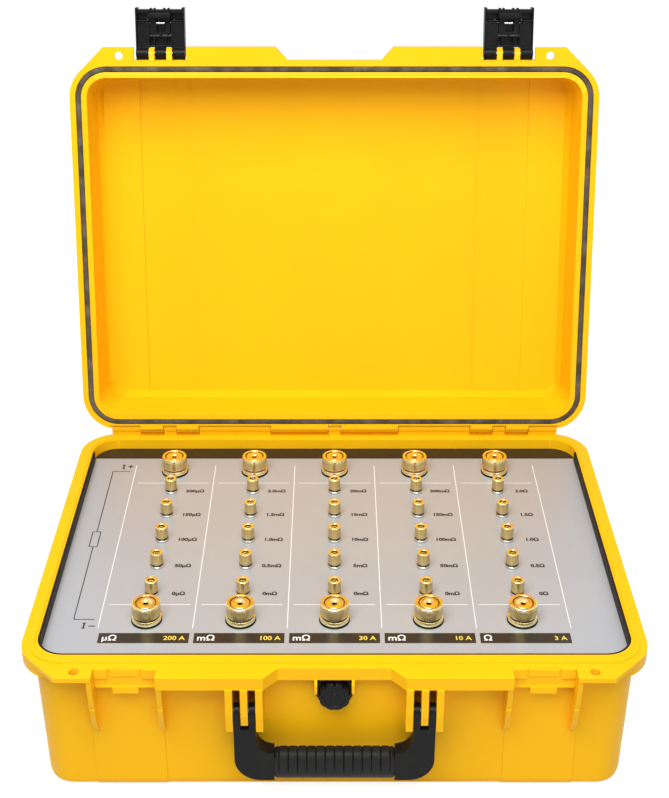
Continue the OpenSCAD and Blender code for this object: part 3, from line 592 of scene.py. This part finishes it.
def carrying_handle():
    """The black handle frame, and its ribbed grip in crowned segments."""
    sizes = bpy.context.scene.calibrator_handle
    shell = settle(
        "handle_moulding", cad_copy("handle_frame", sizes.soft_edge / MM, 40, 3), "handle", "black_moulding", "black",
        sharp=50, flat=True)
    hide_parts("handle_frame")
    grip = bmesh.new()
    steps = 40
    ring = bmesh.ops.create_circle(grip, cap_ends=False, radius=1.0, segments=steps)["verts"]
    for vert in ring:
        a = atan2(vert.co.y, vert.co.x)
        swell = (abs(cos(a)) ** 2.7 + abs(sin(a)) ** 2.7) ** (-1 / 2.7)
        vert.co = Vector((0, cos(a) * swell, sin(a) * swell))
    half_t, half_h, half_l = 8.4, 12.9, 46.3
    pitch = 2 * half_l / (sizes.rib_count + 1)
    marks = [-half_l, -half_l + 1.2, -half_l + pitch / 2 - 0.9]
    depths = [1.6, 0.5, 0.25]
    for rib in range(sizes.rib_count):
        left = -half_l + pitch / 2 + rib * pitch
        for part, depth in ((0.0, 1.0), (0.09, 0.18), (0.3, 0.0), (0.7, 0.0), (0.91, 0.18)):
            marks.append(left + part * pitch)
            depths.append(depth)
    marks += [half_l - pitch / 2, half_l - pitch / 2 + 0.9, half_l - 1.2, half_l]
    depths += [1.0, 0.25, 0.5, 1.6]
    groove = sizes.rib_groove / MM
    rows = [ring]
    edges = list({e for v in ring for e in v.link_edges})
    for _ in marks[1:]:
        grown = bmesh.ops.extrude_edge_only(grip, edges=edges)["geom"]
        rows.append([g for g in grown if isinstance(g, bmesh.types.BMVert)])
        held = set(rows[-1])
        edges = [e for e in {e for v in held for e in v.link_edges} if all(v in held for v in e.verts)]
    for row, x, depth in zip(rows, marks, depths):
        for vert in row:
            y, z = vert.co.y, vert.co.z
            ribbed = 1.0 if z > -0.3 or depth > 1.2 else 0.0
            pull = groove * depth * ribbed
            vert.co = Vector((x, HANDLE_PINS[0] + y * (half_t - pull), GRIP_Z + z * (half_h - pull)))
    bmesh.ops.holes_fill(grip, edges=grip.edges)
    bmesh.ops.recalc_face_normals(grip, faces=grip.faces)
    piece = settle("handle_grip_ribs", grip, "handle", "grip_rubber", "rubber", sharp=40)
    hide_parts("handle_grip")


def pressure_valve():
    """The valve's collar and its knob, turned in 120 steps with ten notches."""
    collar = settle("valve_collar", cad_copy("valve_body", 0.7), "case_base", "black_moulding", "black")
    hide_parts("valve_body")
    knob = turned(
        [(0, 0), (12.1, 0), (12.5, 0.5), (12.5, 7.4), (12.1, 8.3), (11.2, 8.8), (8.6, 8.9), (8.3, 8.5), (3.4, 8.5),
         (3.1, 8.9), (0, 8.95)], 120)
    for vert in knob.verts:
        radius = hypot(vert.co.x, vert.co.y)
        step = round(atan2(vert.co.y, vert.co.x) / tau * 120) % 12
        if step in (4, 5, 6, 7, 8) and radius > 11.5:
            sunk(vert, radius, 1.5 if step in (5, 6, 7) else 0.2)
    place = Matrix.Translation((0, VALVE[0], VALVE[1])) @ Matrix.Rotation(pi / 2, 4, "X")
    bmesh.ops.transform(knob, matrix=place, verts=knob.verts)
    knob = settle("valve_knob_moulding", knob, "case_base", "black_moulding", "black", sharp=40)
    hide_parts("valve_knob")


# ---------------------------------------------------------------- latches


def barrel(shape, x0, x1, u, v, radius):
    """Adds a round bar along x in latch coordinates."""
    place = Matrix.Translation(((x0 + x1) / 2, u, v)) @ Matrix.Rotation(pi / 2, 4, "Y")
    bmesh.ops.create_cone(
        shape, cap_ends=True, segments=28, radius1=radius, radius2=radius, depth=abs(x1 - x0), matrix=place)


def latch_lever(side):
    """A lever: cheeks with horns, sunk bands, a ridge, moulded pockets and its three barrels."""
    shape = bmesh.new()
    for m in (-1, 1):
        def both(x0, x1, u, v):
            block(shape, tuple(sorted((m * x0, m * x1))), u, v)
        both(20.9, 22.4, (-4.2, 39.4), (-1.3, 9.4))
        both(20.1, 22.4, (38.6, 41), (-1.3, 9.4))
        both(9.6, 21.2, (35.8, 39.3), (0.4, 9.4))
        both(12.4, 21.2, (9, 39), (6.2, 9.4))
        both(9.6, 21.2, (28.6, 29.8), (-2.0, 5.2))
        both(9.6, 21.2, (30, 36), (5.4, 6.4))
        both(9.6, 21.2, (27.2, 28.6), (3.6, 5.2))
        both(9.6, 21.2, (4.6, 27.3), (1.0, 5.2))
        both(10.0, 11.2, (7, 15.6), (-0.4, 7.6))
        both(10.8, 22.4, (-6.6, 5.6), (-1.3, 2.6))
        barrel(shape, m * 11.2, m * 22.4, 0, 0, 4.35)
    barrel(shape, -4.8, 4.8, 0, 0, 4.35)
    block(shape, (-5.2, 5.2), (-6.6, 6), (-0.6, 2.6))
    block(shape, (-21.2, 21.2), (6.2, 9.4), (4.4, 9.4))
    block(shape, (-12.6, 12.6), (9, 15.6), (6.0, 9.4))
    block(shape, (-11, 11), (14.2, 15.6), (0.2, 9.2))
    block(shape, (-11.2, 11.2), (5.4, 7.4), (-1.2, 6))
    block(shape, (-6.2, -4.9), (7, 15), (0.1, 7.6))
    block(shape, (4.0, 5.3), (7, 15), (0.1, 7.6))
    soften(shape, 0.35)
    bmesh.ops.transform(shape, matrix=latch_turn(side), verts=shape.verts)
    bmesh.ops.recalc_face_normals(shape, faces=shape.faces)
    return shape


def latch_button(side):
    """A spring button: its slotted column inside, finger ridges outside, hook and castellated end."""
    shape = bmesh.new()
    block(shape, (-11.8, 11.8), (16.2, 39.2), (6.4, 9.0))
    block(shape, (-9.3, -3.2), (16.2, 26.2), (0.7, 6.6))
    block(shape, (4.4, 9.3), (16.2, 26.2), (0.7, 6.6))
    block(shape, (-3.4, 4.6), (16.2, 19.2), (1.6, 6.6))
    block(shape, (-1.2, 1.2), (14.9, 18.2), (0.2, 2.4))
    block(shape, (-9.3, -4.1), (28.9, 30.4), (-1.9, 6.6))
    block(shape, (3.9, 9.3), (28.9, 30.4), (-1.9, 6.6))
    block(shape, (-9.3, -4.1), (26, 29), (1.6, 6.6))
    block(shape, (3.9, 9.3), (26, 29), (1.6, 6.6))
    block(shape, (-10.2, 10.2), (32.2, 36.0), (-7.2, -1.6))
    block(shape, (-9.3, 9.3), (30.4, 36.4), (-2.4, 8.4))
    block(shape, (-9.3, 9.3), (36, 39.2), (0.6, 8.8))
    for x in (-8.3, -5.0, 3.9, 7.8):
        block(shape, (x - 0.95, x + 0.95), (38.8, 40.5), (0.9, 7.6))
    for u in (32.6, 34.7, 36.8):
        block(shape, (-8, 8), (u, u + 0.9), (8.6, 9.45))
    soften(shape, 0.3)
    bmesh.ops.transform(shape, matrix=latch_turn(side), verts=shape.verts)
    bmesh.ops.recalc_face_normals(shape, faces=shape.faces)
    return shape


def latch_pair():
    """Both latches, each with its lever, spring button and pin."""
    for side, name in ((-1, "left"), (1, "right")):
        for part, shape, body in (("lever", latch_lever(side), "latch"), ("button", latch_button(side), "button")):
            piece = settle(
                f"latch_{part}_{name}_moulding", shape, f"{body}_{name}", "black_moulding", "black", sharp=50,
                flat=True)
            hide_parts(f"latch_{part}_{name}")
        coat(f"button_pin_{name}", "steel")


# ---------------------------------------------------------------- posts


def sunk(vert, radius, pull):
    """Moves a vert of that radius towards the vertical axis."""
    vert.co.x *= (radius - pull) / radius
    vert.co.y *= (radius - pull) / radius


def knurled(shape, low, high, least, steps, depth):
    """Presses a straight knurl into every second column between two heights, outside the least radius."""
    for vert in shape.verts:
        radius = hypot(vert.co.x, vert.co.y)
        column = round(atan2(vert.co.y, vert.co.x) / tau * steps)
        if column % 2 and radius > least and low < vert.co.z < high:
            sunk(vert, radius, depth)


def paint(shape, test, index):
    """Gives the faces that pass a test on their middle another material."""
    for face in shape.faces:
        if test(face.calc_center_median()):
            face.material_index = index


def current_posts():
    """The ten large posts: flanged studs, rings and knurled caps with a plug socket."""
    depth = bpy.context.scene.calibrator_posts.knurl_depth / MM
    flange = [(2.02, 122.9), (2.02, 134.3), (2.6, 134.75), (6.9, 134.75), (6.95, 123.5), (11.2, 123.5), (11.62, 123.3),
              (11.9, 122.7), (12.0, 121.9), (12.0, 120.3), (11.85, 119.65), (11.5, 119.3), (3.98, 119.3),
              (3.98, 93.6), (3.7, 93.3), (0, 93.3)]
    stud = turned([(0, 122.9)] + flange, 64)
    # painted shade: the socket's inner wall takes the dark gold that paints the shade inside it
    paint(stud, lambda c: hypot(c.x, c.y) < 2.1, 1)
    places = [(x, y, 0) for y in CURRENT_ROWS.values() for x in COLUMNS]
    piece = settle("current_post_studs", spread(stud, places), "case_base", "gold_plate", "gold", "bore",
                   sharp=36)
    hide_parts("current_studs")
    for row, ring_finish in (("rear", "red"), ("front", "dark")):
        ring = turned([(7.1, 123.52), (10.8, 123.52), (10.99, 123.7), (10.99, 124.6), (10.8, 124.78), (7.1, 124.78)],
                      64, closed=True)
        name = "red" if row == "rear" else "black"
        piece = settle(
            f"current_post_rings_{name}", spread(ring, [(x, CURRENT_ROWS[row], 0) for x in COLUMNS]), "case_base",
            f"{name}_ring", ring_finish, sharp=36)
        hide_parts(f"current_rings_{name}")
    washer = turned([(4.1, 115.5), (5.0, 115.5), (5.0, 118.32), (12.3, 118.32), (12.48, 118.5), (12.48, 119.1),
                     (12.3, 119.28), (4.1, 119.28)], 64, closed=True)
    piece = settle("current_post_washers", spread(washer, places), "case_base", "black_moulding", "black", sharp=36)
    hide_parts("current_bushes")
    for row, y in CURRENT_ROWS.items():
        for index, x in enumerate(COLUMNS):
            cap = turned(
                [(7.05, 134.75), (7.05, 124.82), (10.5, 124.82), (11.1, 125.0), (11.42, 125.4), (11.45, 125.9),
                 (11.45, 133.0), (11.3, 133.2), (11.48, 133.4), (11.5, 134.6), (11.3, 135.3), (10.75, 135.7),
                 (10.2, 135.78), (8.8, 135.7), (8.6, 135.5), (8.55, 134.3), (7.6, 134.3), (7.5, 135.0),
                 (7.3, 135.2), (4.4, 135.3), (4.1, 135.15), (3.2, 134.75)], KNURL_STEPS, closed=True)
            knurled(cap, 125.8, 133.1, 4.5, KNURL_STEPS, depth)
            # painted shade: the knurled band takes the darker, redder copy of the gold
            paint(cap, lambda c: 125.9 < c.z < 133.0 and hypot(c.x, c.y) > 11, 1)
            # painted shade: the groove round the socket takes the dark gold that paints the shade in it
            paint(cap, lambda c: c.z < 135.3 and 7.5 < hypot(c.x, c.y) < 8.6, 2)
            bmesh.ops.translate(cap, verts=cap.verts, vec=(x, y, 0))
            name = f"{row}_{index + 1}"
            piece = settle(f"current_cap_{name}_turned", cap, f"body_current_cap_{name}", "gold_plate", "gold", "knurl",
                           "bore", sharp=34)
            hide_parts(f"current_cap_{name}")


def tap_posts():
    """The twenty-five small posts: collars, rings and knurled caps with a countersunk socket."""
    depth = bpy.context.scene.calibrator_posts.knurl_depth / MM * 0.8
    places = [(x, y, 0) for x in COLUMNS for y in TAP_ROWS]
    stud = turned([(0, 120.2), (2.0, 120.2), (2.02, 129.9), (2.4, 130.5), (3.5, 130.55), (3.58, 118.3), (2.58, 118.3),
                   (2.58, 98.6), (2.3, 98.3), (0, 98.3)], 32)
    # painted shade: the socket's inner wall takes the dark gold that paints the shade inside it
    paint(stud, lambda c: hypot(c.x, c.y) < 2.05 and c.z > 120, 1)
    piece = settle("tap_post_studs", spread(stud, places), "case_base", "gold_plate", "gold", "bore", sharp=36)
    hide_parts("tap_studs")
    collar = turned([(3.7, 118.3), (5.5, 118.3), (5.85, 118.6), (5.88, 119.4), (5.7, 120.0), (5.35, 120.28),
                     (3.7, 120.28)], TAP_STEPS, closed=True)
    piece = settle("tap_post_collars", spread(collar, places), "case_base", "nickel", "nickel", sharp=36)
    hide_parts("tap_collars")
    ring = turned([(3.7, 120.32), (5.15, 120.32), (5.38, 120.55), (5.38, 121.65), (5.15, 121.86), (3.7, 121.86)],
                  TAP_STEPS, closed=True)
    piece = settle("tap_post_rings", spread(ring, places), "case_base", "black_ring", "dark", sharp=36)
    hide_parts("tap_rings")
    cap = turned([(3.66, 130.75), (3.66, 121.92), (5.0, 121.92), (5.36, 122.3), (5.36, 131.7), (5.25, 132.2),
                  (5.0, 132.5), (4.8, 132.58), (3.15, 132.56), (2.85, 132.3), (2.6, 131.6), (2.52, 130.75)], TAP_STEPS,
                 closed=True)
    knurled(cap, 122.2, 131.8, 5.3, TAP_STEPS, depth)
    # painted shade: the knurled band takes the darker, redder copy of the gold
    paint(cap, lambda c: 122.2 < c.z < 131.8 and hypot(c.x, c.y) > 5.1, 1)
    # painted shade: the countersunk socket's inner wall takes the dark gold that paints the shade inside it
    paint(cap, lambda c: 124 < c.z < 132.0 and hypot(c.x, c.y) < 3, 2)
    piece = settle("tap_post_caps", spread(cap, places), "case_base", "gold_plate", "gold", "knurl", "bore",
                   sharp=34)
    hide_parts("tap_caps")


# ---------------------------------------------------------------- panel


def letters(target, text, size, x, y, anchor="LEFT", weight=0.0, serif=False):
    """Adds printed text to a bmesh, in millimetres on the panel's face."""
    curve = bpy.data.curves.new("lettering", "FONT")
    curve.body = text
    curve.size = size
    curve.align_x = anchor
    curve.align_y = "CENTER"
    curve.offset = weight
    curve.extrude = 0.03
    curve.resolution_u = 3
    holder = bpy.data.objects.new("lettering", curve)
    bpy.context.scene.collection.objects.link(holder)
    drawn = holder.evaluated_get(bpy.context.evaluated_depsgraph_get())
    mesh = bpy.data.meshes.new_from_object(drawn)
    mesh.transform(Matrix.Translation((x, y, FACE_Z + 0.03)))
    target.from_mesh(mesh)
    if serif:
        left = min(vert.co.x for vert in mesh.vertices)
        for end in (-1, 1):
            stroke(target, (left - size * 0.1, y + end * size * 0.33), (left + size * 0.22, y + end * size * 0.33), 0.9)
    bpy.data.objects.remove(holder)
    bpy.data.curves.remove(curve)
    bpy.data.meshes.remove(mesh)


def stroke(target, a, b, width, height=0.05):
    """Adds a printed line between two points of the panel."""
    run = hypot(b[0] - a[0], b[1] - a[1])
    turn = atan2(b[1] - a[1], b[0] - a[0])
    place = Matrix.Translation(((a[0] + b[0]) / 2, (a[1] + b[1]) / 2, FACE_Z + height / 2))
    bmesh.ops.create_cube(
        target, size=1.0, matrix=place @ Matrix.Rotation(turn, 4, "Z") @ Matrix.Diagonal((run, width, height, 1)))


def panel_print():
    """Strips, lines, values and ratings printed on the top panel."""
    settings = bpy.context.scene.calibrator_panel
    line = settings.line_width / MM
    size = settings.value_height / MM
    coat("panel_overlay", "overlay")
    edges_x = [(i - 2.5) * COLUMN_PITCH for i in range(6)]

    dark = bmesh.new()
    for left, right in zip(edges_x, edges_x[1:]):
        stroke(dark, (left + 1.9, -128.75), (right - 1.8, -128.75), 12.7)
    header = bmesh.new()
    half_x, half_y = OPENING[0] / 2 - 0.7, OPENING[1] / 2 - 0.7
    block(header, (-half_x, half_x), (OPENING_Y - half_y, OPENING_Y + half_y), (FACE_Z, FACE_Z + 0.05))
    corners = [e for e in header.edges if abs(e.verts[0].co.z - e.verts[1].co.z) > 0.01]
    bmesh.ops.bevel(
        header, geom=corners, offset=OPENING[2] - 0.7, offset_type="OFFSET", affect="EDGES", segments=14, profile=0.5,
        material=-1)
    bmesh.ops.bisect_plane(
        header, geom=header.verts[:] + header.edges[:] + header.faces[:], plane_co=(0, 146.8, 0), plane_no=(0, 1, 0),
        clear_inner=True)
    bmesh.ops.holes_fill(header, edges=header.edges)
    settle("header_strip", header, "case_base", "panel_print", "strip_ink")
    settle("column_strips", dark, "case_base", "panel_print", "strip_ink")

    white = bmesh.new()
    for x in edges_x:
        stroke(white, (x, 133.9), (x, -116.1), line)
    for left, right in zip(edges_x, edges_x[1:]):
        for y in (102.4, -85.1):
            stroke(white, (left + 4.6, y), (right - 4.6, y), line)
    for x, unit in zip(edges_x, UNITS):
        letters(white, unit, 9.4, x + 4.4, -128.9, weight=0.18)
    raise_by(white, 0.05, lambda v: v.co.y < -120)
    settle("white_lines_and_units", white, "case_base", "panel_print", "white_ink")

    gold = bmesh.new()
    for x, rating in zip(edges_x[1:], RATINGS):
        letters(gold, rating, 7.0, x - 5.0, -129.0, anchor="RIGHT", weight=0.12)
    raise_by(gold, 0.05, lambda v: True)
    settle("current_ratings", gold, "case_base", "panel_print", "rating_ink")

    black = bmesh.new()
    for x, values in zip(COLUMNS, VALUES):
        for y, value in zip(TAP_ROWS, values):
            letters(black, value, size, x + 22.0, y + 0.2, anchor="CENTER", weight=0.3)
    for sign, y in (("+", 131.4), ("–", -113.0)):
        letters(black, "I", 9.6, -200.6, y, anchor="CENTER", weight=0.26, serif=True)
        letters(black, sign, 9.6, -194.2, y, anchor="CENTER", weight=0.26)
    wire_x, left, right, top, bottom = -209.9, -213.4, -206.4, 21.0, -2.0
    for a, b in (
        ((-193.6, 123.2), (wire_x, 123.2)), ((wire_x, 123.2), (wire_x, top)), ((left, top), (right, top)),
        ((left, bottom), (right, bottom)), ((left, top), (left, bottom)), ((right, top), (right, bottom)),
        ((wire_x, bottom), (wire_x, -104.7)), ((wire_x, -104.7), (-193.2, -104.7)),
    ):
        stroke(black, a, b, 0.85)
    # painted shade: a dark line printed round the panel's edge stands in for the shade in the gap between rim and panel
    framed(black, [(-0.9, FACE_Z + 0.01), (0, FACE_Z + 0.01), (0, FACE_Z + 0.06), (-0.9, FACE_Z + 0.06)],
           OPENING[0] - 1.1, OPENING[1] - 1.1, OPENING[2] - 0.55, OPENING_Y)
    settle("values_and_circuit", black, "case_base", "panel_print", "black_ink")

    # a seal strip lining the opening; its dark colour also paints the shade in the gap between rim and panel
    seal = bmesh.new()
    framed(seal, [(-1.9, FACE_Z + 0.02), (-0.1, FACE_Z + 0.02), (-0.1, 127.75), (-1.0, 127.9), (-1.9, 127.7)],
           OPENING[0], OPENING[1], OPENING[2], OPENING_Y)
    bmesh.ops.bisect_plane(
        seal, geom=seal.verts[:] + seal.edges[:] + seal.faces[:], plane_co=(0, 143, 0), plane_no=(0, 1, 0),
        clear_outer=True)
    bmesh.ops.holes_fill(seal, edges=seal.edges)
    settle("panel_edge_seal_and_shade", seal, "case_base", "seal_rubber", "rubber")


def raise_by(shape, height, test):
    """Lifts the verts that pass a test, so print lies on print."""
    for vert in shape.verts:
        if test(vert):
            vert.co.z += height


def panel_body():
    """The plate, its frame and screws."""
    coat("panel_plate", "aluminium")
    coat("panel_frame", "black")
    coat("panel_screws", "steel")


def inner_works():
    """Resistor bars, nuts and bushes under the panel."""
    for rating in (200, 100, 30, 10, 3):
        coat(f"shunt_{rating}a", "alloy")
    for node in ("current_nuts", "tap_nuts"):
        coat(node, "brass")
    coat("tap_bushes", "black")
    for node in ("hinge_pins", "handle_pins", "latch_pivot_pins"):
        coat(node, "steel")


# ---------------------------------------------------------------- stage


def seen_rays(root):
    """1 for the rays of the camera, of reflections and of glass, else 0."""
    seen = root.node("ShaderNodeLightPath", out="Is Camera Ray")
    for kind in ("Is Glossy Ray", "Is Transmission Ray"):
        ray = root.node("ShaderNodeLightPath", out=kind)
        seen = root.node("ShaderNodeMath", {"operation": "MAXIMUM"}, {0: seen, 1: ray})
    return seen


def stage():
    """A white floor, even sky, two soft lights and the camera."""
    settings = bpy.context.scene.calibrator_stage
    scene = bpy.context.scene
    floor = bmesh.new()
    bmesh.ops.create_grid(floor, x_segments=1, y_segments=1, size=6.0)
    mesh = bpy.data.meshes.new("studio_floor")
    floor.to_mesh(mesh)
    floor.free()
    ground = bpy.data.objects.new("studio_floor", mesh)
    scene.collection.objects.link(ground)
    material = bpy.data.materials.new("studio_white")
    material.use_nodes = True
    root = Wire(material.node_tree)
    shader = material.node_tree.nodes["Principled BSDF"]
    shader.inputs["Base Color"].default_value = (0.55, 0.55, 0.55, 1)
    shader.inputs["Roughness"].default_value = 0.9
    shader.inputs["Specular IOR Level"].default_value = 0.1
    shader.inputs["Emission Color"].default_value = (1, 1, 1, 1)
    feed(shader, "Emission Strength", seen_rays(root) * 0.8)
    mesh.materials.append(material)

    world = bpy.data.worlds.new("studio_sky")
    scene.world = world
    world.use_nodes = True
    root = Wire(world.node_tree)
    back = world.node_tree.nodes["Background"]
    strength = seen_rays(root).within(0, 1, settings.sky, 1.0)
    back.inputs["Color"].default_value = (1, 1, 1, 1)
    world.node_tree.links.new(strength.socket, back.inputs["Strength"])

    for name, power, size, spot, aim in (
        ("key", settings.key_power, 1.2, (-0.15, -0.7, 1.5), (0, 0.08, 0.25)),
        ("fill", settings.fill_power, 1.2, (0.9, -1.6, 0.6), (0, 0.0, 0.15)),
    ):
        lamp = bpy.data.lights.new(f"studio_{name}", "AREA")
        lamp.energy = power
        lamp.shape = "SQUARE"
        lamp.size = size
        holder = bpy.data.objects.new(f"studio_{name}", lamp)
        holder.location = spot
        holder.rotation_euler = (Vector(aim) - Vector(spot)).to_track_quat("-Z", "Y").to_euler()
        scene.collection.objects.link(holder)

    lens = bpy.data.cameras.new("studio_camera")
    lens.sensor_fit = "VERTICAL"
    lens.sensor_width = 36
    lens.sensor_height = 36
    lens.lens = settings.lens
    lens.shift_y = CAMERA_SHIFT
    lens.clip_end = 50
    camera = bpy.data.objects.new("studio_camera", lens)
    camera.location = CAMERA_PLACE
    camera.rotation_euler = (pi / 2 - settings.pitch, 0, 0)
    scene.collection.objects.link(camera)
    scene.camera = camera
    scene.view_settings.view_transform = "Standard"


# ---------------------------------------------------------------- operators


class BuildCaseBase(bpy.types.Operator):
    """Dress the base of the case"""

    bl_idname = "calibrator.case_base"
    bl_label = "Case base"

    def execute(self, context):
        case_base()
        return {"FINISHED"}


class BuildCaseLid(bpy.types.Operator):
    """Dress the lid of the case"""

    bl_idname = "calibrator.case_lid"
    bl_label = "Case lid"

    def execute(self, context):
        case_lid()
        return {"FINISHED"}


class BuildGasket(bpy.types.Operator):
    """Lay the foam seal in the lid"""

    bl_idname = "calibrator.lid_gasket"
    bl_label = "Lid gasket"

    def execute(self, context):
        lid_gasket()
        return {"FINISHED"}


class BuildHandle(bpy.types.Operator):
    """Make the carrying handle and its grip"""

    bl_idname = "calibrator.carrying_handle"
    bl_label = "Carrying handle"

    def execute(self, context):
        carrying_handle()
        return {"FINISHED"}


class BuildValve(bpy.types.Operator):
    """Make the pressure valve"""

    bl_idname = "calibrator.pressure_valve"
    bl_label = "Pressure valve"

    def execute(self, context):
        pressure_valve()
        return {"FINISHED"}


class BuildLatches(bpy.types.Operator):
    """Make both latches"""

    bl_idname = "calibrator.latch_pair"
    bl_label = "Latches"

    def execute(self, context):
        latch_pair()
        return {"FINISHED"}


class BuildPanel(bpy.types.Operator):
    """Finish the panel plate, its frame and screws"""

    bl_idname = "calibrator.panel_body"
    bl_label = "Panel"

    def execute(self, context):
        panel_body()
        return {"FINISHED"}


class BuildPrint(bpy.types.Operator):
    """Print the panel"""

    bl_idname = "calibrator.panel_print"
    bl_label = "Panel print"

    def execute(self, context):
        panel_print()
        return {"FINISHED"}


class BuildCurrentPosts(bpy.types.Operator):
    """Turn the ten large posts"""

    bl_idname = "calibrator.current_posts"
    bl_label = "Current posts"

    def execute(self, context):
        current_posts()
        return {"FINISHED"}


class BuildTapPosts(bpy.types.Operator):
    """Turn the twenty-five small posts"""

    bl_idname = "calibrator.tap_posts"
    bl_label = "Tap posts"

    def execute(self, context):
        tap_posts()
        return {"FINISHED"}


class BuildInnerWorks(bpy.types.Operator):
    """Finish the resistor bars, nuts and pins"""

    bl_idname = "calibrator.inner_works"
    bl_label = "Inner works"

    def execute(self, context):
        inner_works()
        return {"FINISHED"}


class BuildStage(bpy.types.Operator):
    """Set up the floor, lights and camera"""

    bl_idname = "calibrator.stage"
    bl_label = "Stage"

    def execute(self, context):
        stage()
        return {"FINISHED"}


STEPS = (
    BuildCaseBase,
    BuildCaseLid,
    BuildGasket,
    BuildHandle,
    BuildValve,
    BuildLatches,
    BuildPanel,
    BuildPrint,
    BuildCurrentPosts,
    BuildTapPosts,
    BuildInnerWorks,
    BuildStage,
)


class CalibratorSidebar(bpy.types.Panel):
    """Lists the calibrator's steps and settings"""

    bl_idname = "VIEW3D_PT_calibrator"
    bl_label = "Calibrator"
    bl_space_type = "VIEW_3D"
    bl_region_type = "UI"
    bl_category = "Calibrator"

    def draw(self, context):
        for name, group in GROUPS:
            box = self.layout.box()
            box.label(text=group.__doc__)
            for key in group.__annotations__:
                box.prop(getattr(context.scene, name), key)
        for step in STEPS:
            self.layout.operator(step.bl_idname)


CLASSES = tuple(group for _, group in GROUPS) + STEPS + (CalibratorSidebar,)


def register():
    for cls in CLASSES:
        bpy.utils.register_class(cls)
    for name, group in GROUPS:
        setattr(bpy.types.Scene, name, bpy.props.PointerProperty(type=group))


def unregister():
    for name, _ in GROUPS:
        delattr(bpy.types.Scene, name)
    for cls in reversed(CLASSES):
        bpy.utils.unregister_class(cls)


def main():
    register()
    for step in STEPS:
        family, action = step.bl_idname.split(".")
        getattr(getattr(bpy.ops, family), action)()


if __name__ == "__main__":
    main()
